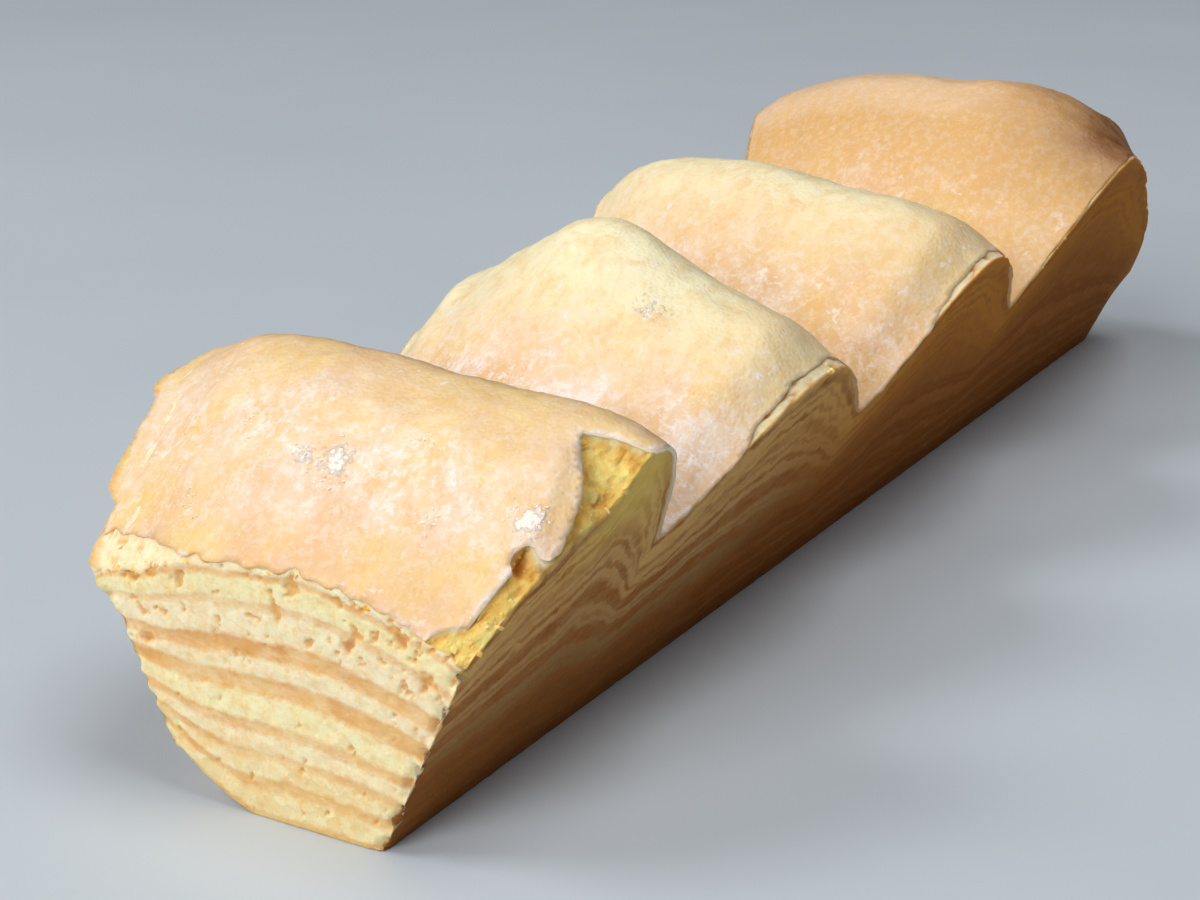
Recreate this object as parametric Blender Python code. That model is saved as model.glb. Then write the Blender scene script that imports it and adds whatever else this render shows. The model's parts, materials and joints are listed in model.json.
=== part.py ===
"""A lengthwise wedge of ridged ring cake (baumkuchen), with its browned rings in relief.

The cake was baked ring by ring on a turning spit and then cut: two faces that run out from the
spit's axis, a flat base where the spit was, and one square end. The other end is the baked end of
the log. It is modelled the same way. A grid is laid over the base, every ring is poured on it as
one more extrusion, and the block is then bent round the spit's axis.

Frame: +Y along the spit towards the baked end, +Z up, origin on the base under the spit's axis,
halfway along. Metres. "Along" is measured from the cut end, and angles from upright, + to the right.
"""

import math
from collections import namedtuple

import bmesh
import bpy
from mathutils import Vector, noise

MM = 0.001

# The cut piece
LENGTH = 187 * MM
AXIS_DEPTH = 22.4 * MM  # the spit's axis lies this far under the base
LEFT_ANGLE = math.radians(25.3)
RIGHT_ANGLE = math.radians(25.7)
BAKED_END_LEAN = 4.5 * MM  # how far the baked end draws in from its widest ring down to the base

# The base's left corner is rounded off, from this angle outwards
ROUND_FROM = math.radians(8)
ROUND_RISE = 5.7 * MM

# The rings from the spit outwards: their thickness where they are thinnest, in the valleys, how far
# the browned skin on top of each lies sunk in the cut faces, and the rows of the grid it takes
Ring = namedtuple("Ring", "thickness sunk rows")
RINGS = (
    Ring(3.6 * MM, 0.25 * MM, 2),
    Ring(2.6 * MM, 0.25 * MM, 2),
    Ring(2.7 * MM, 0.25 * MM, 2),
    Ring(4.1 * MM, 0.45 * MM, 2),
    Ring(3.7 * MM, 0.45 * MM, 2),
    Ring(4.5 * MM, 0.25 * MM, 3),
    Ring(4.1 * MM, 0.1 * MM, 3),
    Ring(0.8 * MM, 0.0 * MM, 1),
)
VALLEY_RADIUS = 48.5 * MM
RING_SWELL = 1.9  # the outer rings take up most of a ridge's height, by this power
RING_LEAN = 4 * MM  # the inner rings crest this much nearer the cut end

# The ridges, each from the valley before it. Rise and drop shape its two slopes: 1 is rounded,
# more is straighter. Lag is how much further along its left end crests than its right.
Ridge = namedtuple("Ridge", "valley low crest high rise drop lag")
RIDGES = (
    Ridge(0 * MM, 47.3 * MM, 20.5 * MM, 62.2 * MM, 1.0, 0.8, 2 * MM),
    Ridge(31 * MM, 48.3 * MM, 58 * MM, 61.2 * MM, 1.7, 1.3, 5 * MM),
    Ridge(77 * MM, 48.3 * MM, 99 * MM, 63.8 * MM, 1.6, 1.3, 5 * MM),
    Ridge(122 * MM, 48.6 * MM, 146 * MM, 67.6 * MM, 1.3, 1.0, 4 * MM),
)
END_RADIUS = 40 * MM
NOSE = 6 * MM  # the last stretch, where the crust curves down into the baked end by this much:
NOSE_DROP = 3.2 * MM

# Where the crust rounds off towards the left (-1) or right (1) cut, from this angle outwards: the
# place along, how far it reaches, and the fall right at the cut
Fall = namedtuple("Fall", "side start along reach depth")
FALLS = (
    Fall(-1, math.radians(19.0), 0 * MM, 5 * MM, -0.6 * MM),
    Fall(-1, math.radians(20.5), 20 * MM, 15 * MM, -0.5 * MM),
    Fall(-1, math.radians(19.5), 58 * MM, 15 * MM, 3.8 * MM),
    Fall(-1, math.radians(20.5), 104 * MM, 13 * MM, 0.8 * MM),
    Fall(-1, math.radians(20.5), 150 * MM, 20 * MM, 0.6 * MM),
    Fall(1, math.radians(19.0), 53 * MM, 13 * MM, 2.6 * MM),
    Fall(1, math.radians(19.0), 94 * MM, 13 * MM, 2.8 * MM),
    Fall(1, math.radians(18.5), 161 * MM, 15 * MM, 4.6 * MM),
)

# Swellings and dips along the crests: the ridge's number, the angle, its half width, the height
Swelling = namedtuple("Swelling", "ridge angle width height")
SWELLINGS = (
    Swelling(0, math.radians(4), math.radians(11), -2.0 * MM),
    Swelling(0, math.radians(24), math.radians(6), 0.9 * MM),
    Swelling(0, math.radians(-17), math.radians(5), 0.5 * MM),
    Swelling(1, math.radians(-1.5), math.radians(8.5), 4.4 * MM),
    Swelling(1, math.radians(-18), math.radians(5), -0.9 * MM),
    Swelling(2, math.radians(-18), math.radians(7), 1.4 * MM),
    Swelling(2, math.radians(6), math.radians(8), -1.2 * MM),
    Swelling(3, math.radians(1), math.radians(4), -0.6 * MM),
    Swelling(3, math.radians(13), math.radians(6), 0.8 * MM),
)

# The crust has chipped off the first ridge's right edge, most of all just under its crest
CHIP_END = 20 * MM
CHIP_DEEPEST = 16.5 * MM
CHIP_DEPTH = 5.2 * MM
CHIP_EDGE_DEPTH = 1.0 * MM
CHIP_WIDTH = math.radians(2.2)
CHIP_CREST_WIDTH = math.radians(5.5)

# Relief: lumps on the baked outside, crumb on the cut faces, and the glazed crust's overhang there
LUMP = 0.55 * MM
LUMP_SIZE = 11 * MM
DIMPLE = 0.22 * MM
DIMPLE_SIZE = 3.5 * MM
CRUMB = 0.4 * MM
CRUMB_SIZE = 3.2 * MM
SIDE_RELIEF = 0.55  # the relief of the two long cuts, as a share of the cut end's
OVERHANG = 0.5 * MM
OVERHANG_WAVE = 0.4 * MM
OVERHANG_WAVE_SIZE = 5 * MM
RELIEF_END = 12 * MM  # the cuts' relief dies away over this much before the baked end

# Holes torn in the crumb of the cut end: place across, height, radius, depth
Hole = namedtuple("Hole", "across height radius depth")
HOLES = (
    Hole(13.6 * MM, 21.2 * MM, 1.9 * MM, 1.4 * MM),
    Hole(-16.6 * MM, 21.0 * MM, 1.7 * MM, 1.1 * MM),
    Hole(-14.9 * MM, 15.4 * MM, 1.6 * MM, 0.9 * MM),
    Hole(8.2 * MM, 19.2 * MM, 1.6 * MM, 0.9 * MM),
    Hole(16.4 * MM, 17.6 * MM, 1.5 * MM, 0.9 * MM),
)

# The grid: cells across, which are denser at both cuts, and the cells' lengths at the two ends.
# Its lines follow the valleys and the crests.
ACROSS_CELLS = 26
CUT_CROWDING = 0.25
CUT_END_CELL = 1.9 * MM
BAKED_END_CELL = 2.9 * MM
NOSE_CROWDING = 1.3  # the cells get shorter towards the baked end by this power

CRUMB_COLOUR = (0.86, 0.66, 0.30, 1.0)
CRUMB_ROUGHNESS = 0.85


def smooth_step(t):
    """0 below 0, 1 above 1, and an even curve between."""
    t = min(max(t, 0.0), 1.0)
    return t * t * (3 - 2 * t)


def bell(offset, width):
    return math.exp(-((offset / width) ** 2))


def lumps(point, size, seed):
    """Smooth random relief from -1 to 1, of the given size."""
    return noise.noise(point / size + Vector((seed, 0, 0)))


def next_valley(number):
    """Where the valley or the end after a ridge lies, and its radius."""
    if number + 1 < len(RIDGES):
        return RIDGES[number + 1].valley, RIDGES[number + 1].low
    return LENGTH, END_RADIUS


def ridge_radius(along):
    """The crust's radius at a place along the spit, before swellings."""
    along = min(max(along, 0), LENGTH)
    for number, ridge in enumerate(RIDGES):
        after, after_low = next_valley(number)
        if along <= ridge.crest:
            t = math.pi / 2 * (along - ridge.valley) / (ridge.crest - ridge.valley)
            return ridge.low + (ridge.high - ridge.low) * math.sin(t) ** ridge.rise
        if along <= after:
            t = math.pi / 2 * (along - ridge.crest) / (after - ridge.crest)
            return after_low + (ridge.high - after_low) * max(math.cos(t), 0) ** ridge.drop
    return END_RADIUS


def stations():
    """The places along the spit of the grid's lines."""
    places = [0.0]
    for number, ridge in enumerate(RIDGES):
        for stop in (ridge.crest, next_valley(number)[0]):
            start = places[-1]
            cell = CUT_END_CELL + (BAKED_END_CELL - CUT_END_CELL) * start / LENGTH
            cells = round((stop - start) / cell)
            power = NOSE_CROWDING if stop == LENGTH else 1.0
            shares = [1 - (1 - (i + 1) / cells) ** power for i in range(cells)]
            places += [start + (stop - start) * share for share in shares]
    return places


def lag_at(angle, along):
    """How much further along than its right end a ridge or valley runs here."""
    left = smooth_step((LEFT_ANGLE - angle) / (LEFT_ANGLE + RIGHT_ANGLE)) ** 2
    weights = [bell(along - ridge.crest, 20 * MM) for ridge in RIDGES]
    lag = sum(w * ridge.lag for w, ridge in zip(weights, RIDGES)) / sum(weights)
    ends = smooth_step(along / (15 * MM)) * smooth_step((LENGTH - along) / (35 * MM))
    return left * lag * ends


def edge_falls(angle, along):
    """How much the crust rounds off towards the two cut faces."""
    total = 0
    for fall in FALLS:
        end = RIGHT_ANGLE if fall.side > 0 else LEFT_ANGLE
        share = smooth_step((angle * fall.side - fall.start) / (end - fall.start))
        total += share * fall.depth * bell(along - fall.along, fall.reach)
    return total


def swellings(angle, along):
    return sum(
        s.height * bell(angle - s.angle, s.width) * bell(along - RIDGES[s.ridge].crest, 13 * MM)
        for s in SWELLINGS
    )


def chip(angle, along):
    """How much crust is missing at the first ridge's right edge."""
    rise = smooth_step(along / CHIP_DEEPEST)
    run_out = smooth_step((CHIP_END - along) / (CHIP_END - CHIP_DEEPEST))
    width = CHIP_WIDTH + (CHIP_CREST_WIDTH - CHIP_WIDTH) * rise**3
    depth = (CHIP_EDGE_DEPTH + (CHIP_DEPTH - CHIP_EDGE_DEPTH) * rise) * run_out
    across = (angle - (RIGHT_ANGLE - width)) / width
    return depth * min(max(across, 0.0), 1.0) ** 0.8


def nose_drop(along):
    t = min(max(along - (LENGTH - NOSE), 0) / NOSE, 1)
    return NOSE_DROP * (1 - math.sqrt(1 - t * t))


def crust_radius(angle, along):
    on_crust = Vector((angle * VALLEY_RADIUS, along, 0))
    return (
        ridge_radius(along)
        - nose_drop(along)
        + swellings(angle, along)
        - edge_falls(angle, along)
        - chip(angle, along)
        + LUMP * lumps(on_crust, LUMP_SIZE, 3)
        + DIMPLE * lumps(on_crust, DIMPLE_SIZE, 11)
    )


def base_radius(angle):
    """From the axis to the flat base, or to its rounded left corner."""
    rounded = max(-angle - ROUND_FROM, 0) / (LEFT_ANGLE - ROUND_FROM)
    return AXIS_DEPTH / math.cos(angle) + ROUND_RISE * rounded**2


def ring_radius(angle, along, ring):
    """The radius of the ring surface numbered 0 at the base to 1 at the crust."""
    inner = base_radius(angle)
    swell = ridge_radius(along + RING_LEAN * (1 - ring)) - VALLEY_RADIUS
    correction = crust_radius(angle, along) - ridge_radius(along)
    return inner + ring * (VALLEY_RADIUS - inner) + (swell + correction) * ring**RING_SWELL


def row_heights():
    """Ring numbers of the rows of the grid above the base, and how far each is sunk."""
    total = sum(ring.thickness for ring in RINGS)
    below = 0
    rows = []
    for ring in RINGS:
        for row in range(1, ring.rows + 1):
            number = (below + ring.thickness * row / ring.rows) / total
            rows.append((number, ring.sunk if row == ring.rows else 0))
        below += ring.thickness
    return rows


def poured_block():
    """A closed block in grid coordinates: -1 to 1 across and along, and the ring number upwards."""
    block = bmesh.new()
    along_cells = len(stations()) - 1
    bmesh.ops.create_grid(block, x_segments=ACROSS_CELLS, y_segments=along_cells, size=1)
    top = block.faces[:] + block.edges[:]
    height = 0.0
    for ring, _ in row_heights():
        top = bmesh.ops.extrude_face_region(block, geom=top)["geom"]
        raised = [item for item in top if isinstance(item, bmesh.types.BMVert)]
        bmesh.ops.translate(block, verts=raised, vec=(0, 0, ring - height))
        height = ring
    bmesh.ops.recalc_face_normals(block, faces=block.faces[:])
    return block


def crumb_relief(point, ring, rows):
    """Relief of a cut face, outwards: crumb between the browned skins, which are a little sunk."""
    cut = smooth_step((LENGTH - point.y) / RELIEF_END)
    if ring > 0.999:
        return cut * (OVERHANG + OVERHANG_WAVE * lumps(point, OVERHANG_WAVE_SIZE, 31))
    crumb = CRUMB * lumps(point, CRUMB_SIZE, 23) * math.sin(math.pi * max(ring, 0)) ** 0.3
    return cut * (crumb - sum(sunk for row, sunk in rows if abs(ring - row) < 1e-4))


def holes(across, height):
    return sum(h.depth * bell(math.hypot(across - h.across, height - h.height), h.radius) for h in HOLES)


def bend_round_spit(block):
    """Takes the block from grid coordinates to its place, and cuts the relief into its cut faces."""
    rows = row_heights()
    places = stations()
    left_normal = Vector((-math.cos(LEFT_ANGLE), 0, -math.sin(LEFT_ANGLE)))
    right_normal = Vector((math.cos(RIGHT_ANGLE), 0, -math.sin(RIGHT_ANGLE)))
    for vertex in block.verts:
        across, lengthwise, ring = vertex.co
        crowded = across - CUT_CROWDING * across * (across**2 - 1)
        angle = crowded * (LEFT_ANGLE if across < 0 else RIGHT_ANGLE)
        station = places[round((lengthwise + 1) / 2 * (len(places) - 1))]
        radius = ring_radius(angle, station, ring)
        lean = BAKED_END_LEAN * smooth_step((1 - ring) / 0.7) * (station / LENGTH) ** 4
        along = station + lag_at(angle, station) - lean
        point = Vector((radius * math.sin(angle), along, radius * math.cos(angle) - AXIS_DEPTH))
        relief = crumb_relief(point, ring, rows)
        if ring > 1e-4:
            if across < -0.9999:
                point += left_normal * relief * SIDE_RELIEF
            if across > 0.9999:
                point += right_normal * relief * SIDE_RELIEF
            if lengthwise < -0.9999:
                point.y -= relief - (holes(point.x, point.z) if ring < 0.999 else 0)
        point.y -= LENGTH / 2
        vertex.co = point


def join_flat_base(block):
    """Makes the base's level faces one face."""
    level = [f for f in block.faces if all(abs(v.co.z) < 1e-6 for v in f.verts)]
    bmesh.ops.dissolve_faces(block, faces=level, use_verts=False)


def crumb_material():
    material = bpy.data.materials.new("cake_crumb")
    material.use_nodes = True
    shader = material.node_tree.nodes["Principled BSDF"]
    shader.inputs["Base Color"].default_value = CRUMB_COLOUR
    shader.inputs["Roughness"].default_value = CRUMB_ROUGHNESS
    shader.inputs["Metallic"].default_value = 0.0
    return material


def main():
    for leftover in list(bpy.data.objects):
        bpy.data.objects.remove(leftover)
    block = poured_block()
    bend_round_spit(block)
    join_flat_base(block)
    mesh = bpy.data.meshes.new("cake")
    block.to_mesh(mesh)
    block.free()
    mesh.materials.append(crumb_material())
    cake = bpy.data.objects.new("cake", mesh)
    bpy.context.scene.collection.objects.link(cake)


main()
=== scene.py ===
"""Dresses a lengthwise wedge of ridged ring cake (baumkuchen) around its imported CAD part.

The sponge body takes the CAD solid's place: the same rings bent round the same spit, with crumb,
pores and browned rings cut in finely. Over it lies a thin skin of sugar glaze that has broken away
along the cuts, with sugar grains on it and loose crumbs along its torn edges.

Frame: +Y along the spit towards the baked end, +Z up, origin on the base under the spit's axis,
halfway along. Metres. "Along" is measured from the cut end, and angles from upright, + to the
right.
"""

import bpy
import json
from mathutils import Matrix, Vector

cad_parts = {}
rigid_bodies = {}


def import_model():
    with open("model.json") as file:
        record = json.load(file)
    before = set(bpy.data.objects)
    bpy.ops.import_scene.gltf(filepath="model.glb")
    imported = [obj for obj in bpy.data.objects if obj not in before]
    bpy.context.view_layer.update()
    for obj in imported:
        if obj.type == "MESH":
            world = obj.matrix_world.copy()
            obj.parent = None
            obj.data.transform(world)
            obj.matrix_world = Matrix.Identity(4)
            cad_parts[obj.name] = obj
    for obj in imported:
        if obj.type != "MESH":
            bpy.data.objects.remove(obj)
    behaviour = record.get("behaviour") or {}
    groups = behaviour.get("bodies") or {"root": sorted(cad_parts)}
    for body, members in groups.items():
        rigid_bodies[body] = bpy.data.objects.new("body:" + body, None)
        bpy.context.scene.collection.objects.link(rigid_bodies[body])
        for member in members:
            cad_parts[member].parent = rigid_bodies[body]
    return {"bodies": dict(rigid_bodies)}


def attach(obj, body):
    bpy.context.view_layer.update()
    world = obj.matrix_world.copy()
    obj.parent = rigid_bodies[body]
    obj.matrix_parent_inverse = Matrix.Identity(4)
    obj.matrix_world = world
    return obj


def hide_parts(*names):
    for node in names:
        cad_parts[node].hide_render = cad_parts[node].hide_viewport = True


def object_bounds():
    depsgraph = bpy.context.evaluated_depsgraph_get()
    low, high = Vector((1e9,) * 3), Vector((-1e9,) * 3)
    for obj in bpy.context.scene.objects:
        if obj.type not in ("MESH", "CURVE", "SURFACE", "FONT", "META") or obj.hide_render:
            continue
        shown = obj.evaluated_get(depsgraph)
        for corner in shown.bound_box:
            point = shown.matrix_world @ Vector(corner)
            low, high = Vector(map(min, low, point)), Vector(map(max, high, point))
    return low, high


bl_info = {
    "name": "Baumkuchen wedge",
    "version": (1, 0, 0),
    "blender": (4, 5, 0),
    "location": "View3D > Sidebar > Baumkuchen",
    "description": "Models a glazed wedge of ridged ring cake around its CAD part",
    "category": "Object",
}

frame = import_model()
CAD_BOX = [list(corner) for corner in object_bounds()]

import json
import math
import random
from collections import namedtuple

import bmesh
import bpy
from bpy.props import FloatProperty, FloatVectorProperty, IntProperty, PointerProperty
from mathutils import Matrix, Vector, noise

MM = 0.001
DEG = math.radians(1)
BODY = next(iter(frame["bodies"]))
CAKE_NODE = "cake"


def rows(kind, scales, *table):
    """Named rows from plain numbers, each column of them taken times its scale."""
    return tuple(kind(*(value * scale for value, scale in zip(row, scales))) for row in table)



# ---- The form of the CAD part, from the same named sizes ----

LENGTH = 187 * MM
AXIS_DEPTH = 22.4 * MM
LEFT_ANGLE = math.radians(25.3)
RIGHT_ANGLE = math.radians(25.7)
BAKED_END_LEAN = 4.5 * MM
ROUND_FROM = math.radians(8)
ROUND_RISE = 5.7 * MM
VALLEY_RADIUS = 48.5 * MM
RING_SWELL = 1.9
RING_LEAN = 4 * MM

Ridge = namedtuple("Ridge", "valley low crest high rise drop lag")
RIDGES = rows(
    Ridge, (MM, MM, MM, MM, 1, 1, MM),
    (0, 47.3, 20.5, 62.2, 1.0, 0.8, 2),
    (31, 48.3, 58, 61.2, 1.7, 1.3, 5),
    (77, 48.3, 99, 63.8, 1.6, 1.3, 5),
    (122, 48.6, 146, 67.6, 1.3, 1.0, 4),
)
END_RADIUS = 40 * MM
NOSE = 6 * MM
NOSE_DROP = 3.2 * MM

# Where the crust falls (or, below 0, rises) towards a cut: -1 for the left cut and 1 for the right
Fall = namedtuple("Fall", "side start along reach depth")
FALLS = rows(
    Fall, (1, DEG, MM, MM, MM),
    (-1, 19.0, 0, 5, -0.6),
    (-1, 20.5, 20, 15, -0.5),
    (-1, 19.5, 58, 15, 3.8),
    (-1, 20.5, 104, 13, 0.8),
    (-1, 20.5, 150, 20, 0.6),
    (1, 19.0, 53, 13, 2.6),
    (1, 19.0, 94, 13, 2.8),
    (1, 18.5, 161, 15, 4.6),
)

# Where a ridge's crest swells or dips
Swelling = namedtuple("Swelling", "ridge angle width height")
SWELLINGS = rows(
    Swelling, (1, DEG, DEG, MM),
    (0, 4, 11, -2.0),
    (0, 24, 6, 0.9),
    (0, -17, 5, 0.5),
    (1, -1.5, 8.5, 4.4),
    (1, -18, 5, -0.9),
    (2, -18, 7, 1.4),
    (2, 6, 8, -1.2),
    (3, 1, 4, -0.6),
    (3, 13, 6, 0.8),
)

CHIP_END = 20 * MM
CHIP_DEEPEST = 16.5 * MM
CHIP_DEPTH = 5.2 * MM
CHIP_EDGE_DEPTH = 1.0 * MM
CHIP_WIDTH = math.radians(2.2)
CHIP_CREST_WIDTH = math.radians(5.5)

LUMP = 0.55 * MM
LUMP_SIZE = 11 * MM
DIMPLE = 0.22 * MM
DIMPLE_SIZE = 3.5 * MM

# The larger holes torn in the cut end
Hole = namedtuple("Hole", "across height radius")
HOLES = rows(
    Hole, (MM, MM, MM),
    (13.6, 21.2, 1.9),
    (-16.6, 21.0, 1.7),
    (-14.9, 15.4, 1.6),
    (8.2, 19.2, 1.6),
    (16.4, 17.6, 1.5),
)

# ---- What the dressing adds ----

# The browned skins between the poured rings: place from the base (0) to the crust (1), half the
# thickness of the line as a share of the same, how brown it is, and how deep the cut is sunk there
Skin = namedtuple("Skin", "place half brown sunk")
SKINS = (
    Skin(0.000, 0.020, 0.95, 0.10 * MM),
    Skin(0.138, 0.012, 0.80, 0.18 * MM),
    Skin(0.238, 0.010, 0.75, 0.18 * MM),
    Skin(0.341, 0.014, 0.85, 0.20 * MM),
    Skin(0.500, 0.028, 0.95, 0.30 * MM),
    Skin(0.640, 0.026, 0.95, 0.30 * MM),
    Skin(0.812, 0.012, 0.60, 0.12 * MM),
    Skin(0.955, 0.008, 0.80, 0.10 * MM),
)
# Thinner skins that the long cuts show too, and some that only open out in the swollen ridges
SIDE_SKINS = (
    Skin(0.075, 0.008, 0.5, 0), Skin(0.190, 0.007, 0.4, 0), Skin(0.290, 0.007, 0.4, 0),
    Skin(0.410, 0.007, 0.5, 0), Skin(0.570, 0.008, 0.5, 0), Skin(0.725, 0.008, 0.8, 0),
)
RIDGE_SKINS = (Skin(0.770, 0.006, 0.8, 0), Skin(0.865, 0.008, 0.9, 0), Skin(0.910, 0.005, 0.8, 0))

# Where the glaze has broken off the first ridge's right edge: the angle it ends at, by place along
TORN_EDGE = (
    (0.0, 20.3), (1.0, 21.5), (1.6, 23.3), (5.0, 23.6), (7.2, 24.2), (7.9, 25.6), (9.0, 25.7),
    (10.8, 25.0), (12.1, 24.4), (14.2, 23.0), (15.6, 21.6), (16.8, 20.3), (17.3, 20.1),
    (17.9, 21.2), (18.6, 22.4), (19.2, 24.4), (20.0, 26.3), (42.0, 26.3), (47.0, 24.8),
    (56.0, 24.3), (64.0, 24.4), (69.0, 26.3), (87.0, 26.3), (91.0, 25.0), (99.0, 24.5),
    (107.0, 24.8), (112.0, 26.3),
)

# Crags that stand out of the left cut's upper edge, steep towards the cut end and long towards the
# crest: place along, reach towards the crest, how far out
Crag = namedtuple("Crag", "along reach out")
CRAGS = rows(Crag, (MM, MM, MM), (0.4, 2.6, 1.3), (5.8, 4.0, 1.5), (14.6, 3.6, 1.4))
CRAG_STEEP = 0.8 * MM
CRAG_SET_BACK = 0.3 * MM

# Clusters of dried sugar on the glaze: angle, place along, spread, share of all grains
Cluster = namedtuple("Cluster", "angle along spread share")
SUGAR = (
    Cluster(22.1, 8.8, 0.9, 0.18), Cluster(-1.9, 7.6, 0.8, 0.075), Cluster(1.6, 8.0, 1.2, 0.09),
    Cluster(-14.0, 3.8, 0.8, 0.05), Cluster(-10.0, 9.5, 0.7, 0.04), Cluster(8.5, 50.7, 1.6, 0.06),
    Cluster(14.0, 6.0, 0.7, 0.04), Cluster(9.0, 11.5, 0.6, 0.03),
)

# How white the sugar has dried at the foot of each ridge's front slope
VALLEY_FROST = (0, 1.5, 0.6, 0.3)

# How much of the chip's depth the sponge fills again, and how much the glaze bridges
CHIP_FILL = 0.32
GLAZE_BRIDGE = 0.65

# The hole through the glaze by the right cut: angle, place along, radius
GLAZE_HOLE = (math.radians(23.6), 6.7 * MM, 1.0 * MM)

# Depths in the sponge: its crust under the glaze, the deepest browned skin, the clots of the torn
# place, the hole under the glaze's, the corners that have crumbled off, and the baked end. The long
# cuts have a share of the cut end's relief.
COVER = 0.30 * MM
SKIN_DEPTH = 0.16 * MM
DEEPEST_SUNK = 0.30 * MM
CLOT_DEPTH = 0.50 * MM
HOLE_DEPTH = 1.2 * MM
CORNER_DEPTH = 1.1 * MM
CORNER_REACH = 1.5 * MM
BAKED_END_DEPTH = 0.3 * MM
SIDE_SHARE = 0.6

# Where the torn place ends, where its nose stands, and from where the crust is whole
TORN_END = 30 * MM
NOSE_ALONG = 20.5 * MM
WHOLE_FROM = 100 * MM

# The glaze: how far its top lies under the part's crust, the radius that its edge is measured at,
# the groove behind its left edge, and how high the sugar is heaped
GLAZE_SUNK = 0.12 * MM
EDGE_RADIUS = VALLEY_RADIUS + 6 * MM
GROOVE_DEPTH = 0.2 * MM
GROOVE_SET_BACK = 3.0 * MM
HEAP = 0.35 * MM

# Where the glaze is tinted: pale crests (place along, width), amber steps (start, length), the
# brown rim on the first ridge and its frost (place along, width), and the baked end and its right
# edge (start, length)
PALE_CRESTS = ((58 * MM, 16 * MM), (101 * MM, 13 * MM))
AMBER_STEPS = ((66 * MM, 16 * MM), (124 * MM, 14 * MM))
BARK_RIM = (22.9 * MM, 2.2 * MM)
BARK_END = (156 * MM, 24 * MM)
BARK_RIGHT = (130 * MM, 16 * MM)
FIRST_FROST = (9 * MM, 6 * MM)

# Crumbs lie no further towards the baked end than this, and this far inside the part's width
CRUMBS_END = 80 * MM
CRUMBS_INSIDE = 1 * MM

# Seeds, so that every run gives the same cake: the noise's own seed would follow the clock
NOISE_SEED = 1
SUGAR_SEED = 17
CRUMB_SEED = 23


def shade(red, green, blue):
    """A colour given as it looks on a screen, 0 to 255, in the linear values that shaders take."""
    return tuple(
        c / 12.92 if c <= 0.04045 else ((c + 0.055) / 1.055) ** 2.4
        for c in (red / 255, green / 255, blue / 255)
    ) + (1.0,)


def smooth_step(t):
    t = min(max(t, 0.0), 1.0)
    return t * t * (3 - 2 * t)


def bell(offset, width):
    return math.exp(-((offset / width) ** 2))


def rise(value, start, width):
    """0 up to the start, and 1 from the width after it."""
    return smooth_step((value - start) / width)


def fade(value, end, width):
    """1 until the width before the end, and 0 from the end."""
    return smooth_step((end - value) / width)


def lumps(point, size, seed=0):
    """Smooth random relief from -1 to 1, of the given size."""
    return noise.noise(point / size + Vector((seed, 0, 0)))


def along_table(table, place):
    """Straight lines between the rows (place, value) of a table."""
    if place <= table[0][0]:
        return table[0][1]
    for (start, low), (stop, high) in zip(table, table[1:]):
        if place <= stop:
            return low + (high - low) * (place - start) / (stop - start)
    return table[-1][1]


# ---- The part's formulas ----


def next_valley(number):
    if number + 1 < len(RIDGES):
        return RIDGES[number + 1].valley, RIDGES[number + 1].low
    return LENGTH, END_RADIUS


def ridge_radius(along):
    along = min(max(along, 0), LENGTH)
    for number, ridge in enumerate(RIDGES):
        after, after_low = next_valley(number)
        if along <= ridge.crest:
            t = math.pi / 2 * (along - ridge.valley) / (ridge.crest - ridge.valley)
            return ridge.low + (ridge.high - ridge.low) * math.sin(t) ** ridge.rise
        if along <= after:
            t = math.pi / 2 * (along - ridge.crest) / (after - ridge.crest)
            return after_low + (ridge.high - after_low) * max(math.cos(t), 0) ** ridge.drop
    return END_RADIUS


def lag_at(angle, along):
    left = smooth_step((LEFT_ANGLE - angle) / (LEFT_ANGLE + RIGHT_ANGLE)) ** 2
    weights = [bell(along - ridge.crest, 20 * MM) for ridge in RIDGES]
    lag = sum(w * ridge.lag for w, ridge in zip(weights, RIDGES)) / sum(weights)
    ends = smooth_step(along / (15 * MM)) * smooth_step((LENGTH - along) / (35 * MM))
    return left * lag * ends


def edge_falls(angle, along):
    total = 0
    for fall in FALLS:
        end = RIGHT_ANGLE if fall.side > 0 else LEFT_ANGLE
        share = smooth_step((angle * fall.side - fall.start) / (end - fall.start))
        total += share * fall.depth * bell(along - fall.along, fall.reach)
    return total


def swellings(angle, along):
    return sum(
        s.height * bell(angle - s.angle, s.width) * bell(along - RIDGES[s.ridge].crest, 13 * MM)
        for s in SWELLINGS
    )


def chip(angle, along):
    rise = smooth_step(along / CHIP_DEEPEST)
    run_out = smooth_step((CHIP_END - along) / (CHIP_END - CHIP_DEEPEST))
    width = CHIP_WIDTH + (CHIP_CREST_WIDTH - CHIP_WIDTH) * rise**3
    depth = (CHIP_EDGE_DEPTH + (CHIP_DEPTH - CHIP_EDGE_DEPTH) * rise) * run_out
    across = (angle - (RIGHT_ANGLE - width)) / width
    return depth * min(max(across, 0.0), 1.0) ** 0.8


def nose_drop(along):
    t = min(max(along - (LENGTH - NOSE), 0) / NOSE, 1)
    return NOSE_DROP * (1 - math.sqrt(1 - t * t))


def crust_radius(angle, along):
    on_crust = Vector((angle * VALLEY_RADIUS, along, 0))
    return (
        ridge_radius(along)
        - nose_drop(along)
        + swellings(angle, along)
        - edge_falls(angle, along)
        - chip(angle, along)
        + LUMP * lumps(on_crust, LUMP_SIZE, 3)
        + DIMPLE * lumps(on_crust, DIMPLE_SIZE, 11)
    )


def base_radius(angle):
    rounded = max(-angle - ROUND_FROM, 0) / (LEFT_ANGLE - ROUND_FROM)
    return AXIS_DEPTH / math.cos(angle) + ROUND_RISE * rounded**2


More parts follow.
